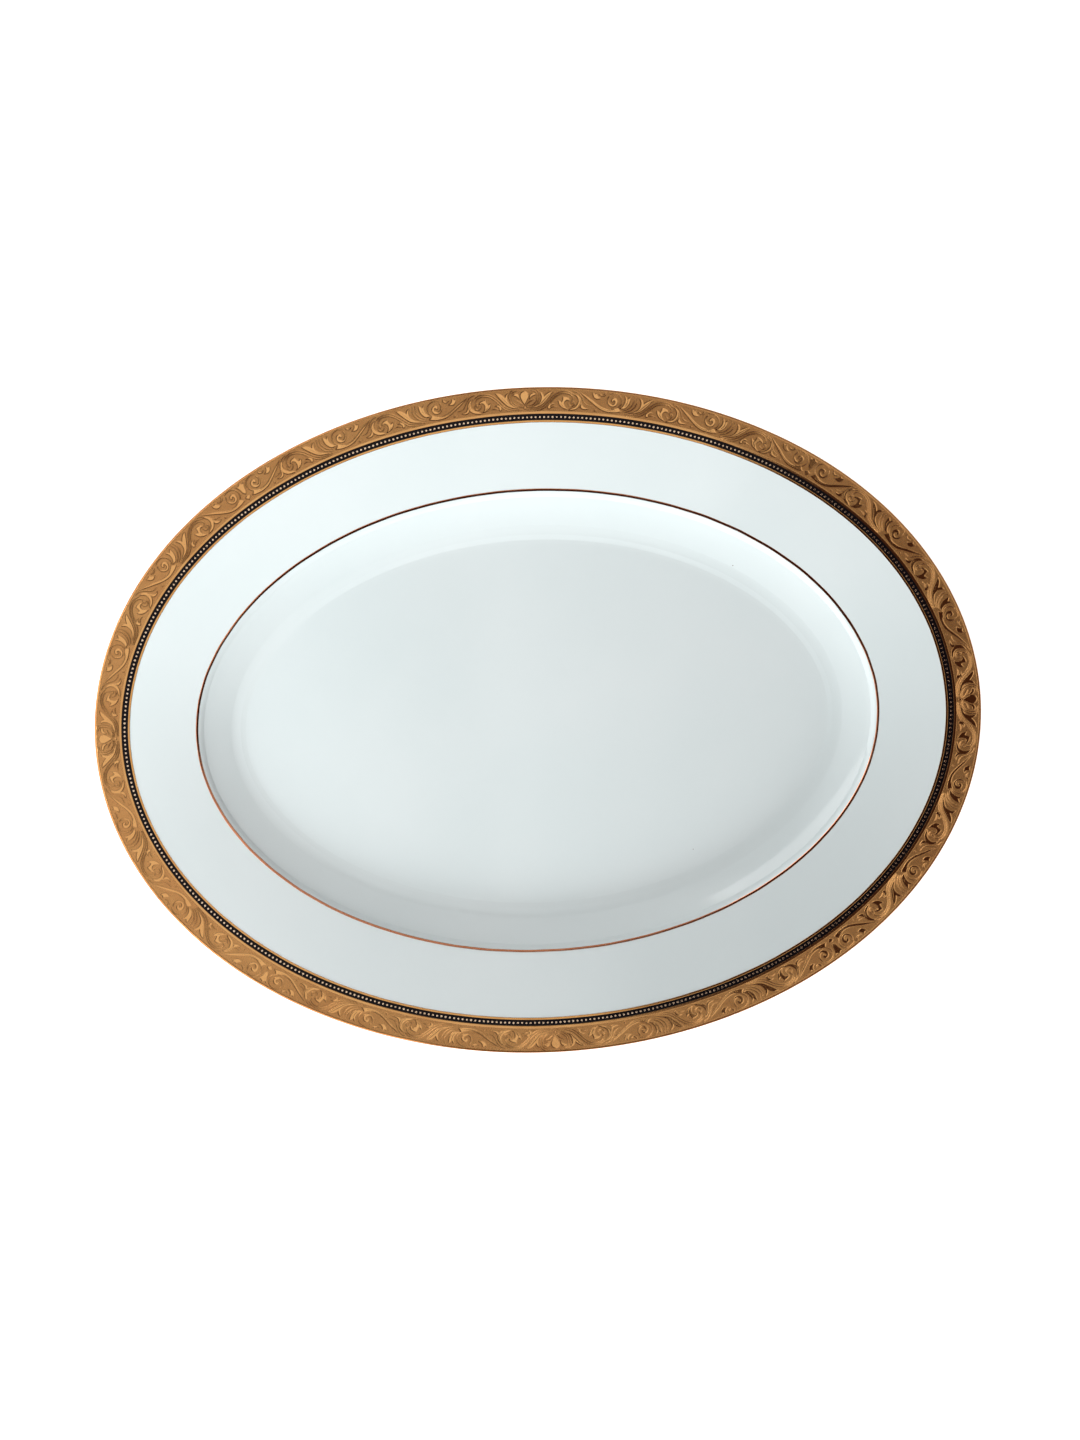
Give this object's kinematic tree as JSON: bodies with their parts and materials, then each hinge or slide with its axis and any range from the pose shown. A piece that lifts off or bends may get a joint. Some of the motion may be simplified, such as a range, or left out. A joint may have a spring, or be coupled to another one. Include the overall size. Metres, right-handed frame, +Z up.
{
  "type": "serving platter",
  "caption": "Oval china serving platter with a wide rim, a shallow well, a foot ring and a gold and black border.",
  "frame": {"origin": "middle of the platter on the surface that it stands on", "axes": "+X along the length, +Y across the width, +Z up out of the well"},
  "size_m": [0.36, 0.27, 0.027],
  "materials": {
    "bisque": "matte",
    "glaze": "gloss",
    "burnished_gold": "polished",
    "etched_gold": "satin",
    "bead_gold": "satin",
    "black_enamel": "gloss"
  },
  "bodies": {
    "root": {"china_body": "bisque", "glaze_coat": "glaze", "base_glaze": "glaze", "lip_gilding": "burnished_gold", "etched_gold_band": "etched_gold", "gold_line_outer": "burnished_gold", "black_enamel_band": "black_enamel", "bead_row": "bead_gold", "gold_line_inner": "burnished_gold", "verge_gold_line": "burnished_gold"}
  },
  "joints": []
}
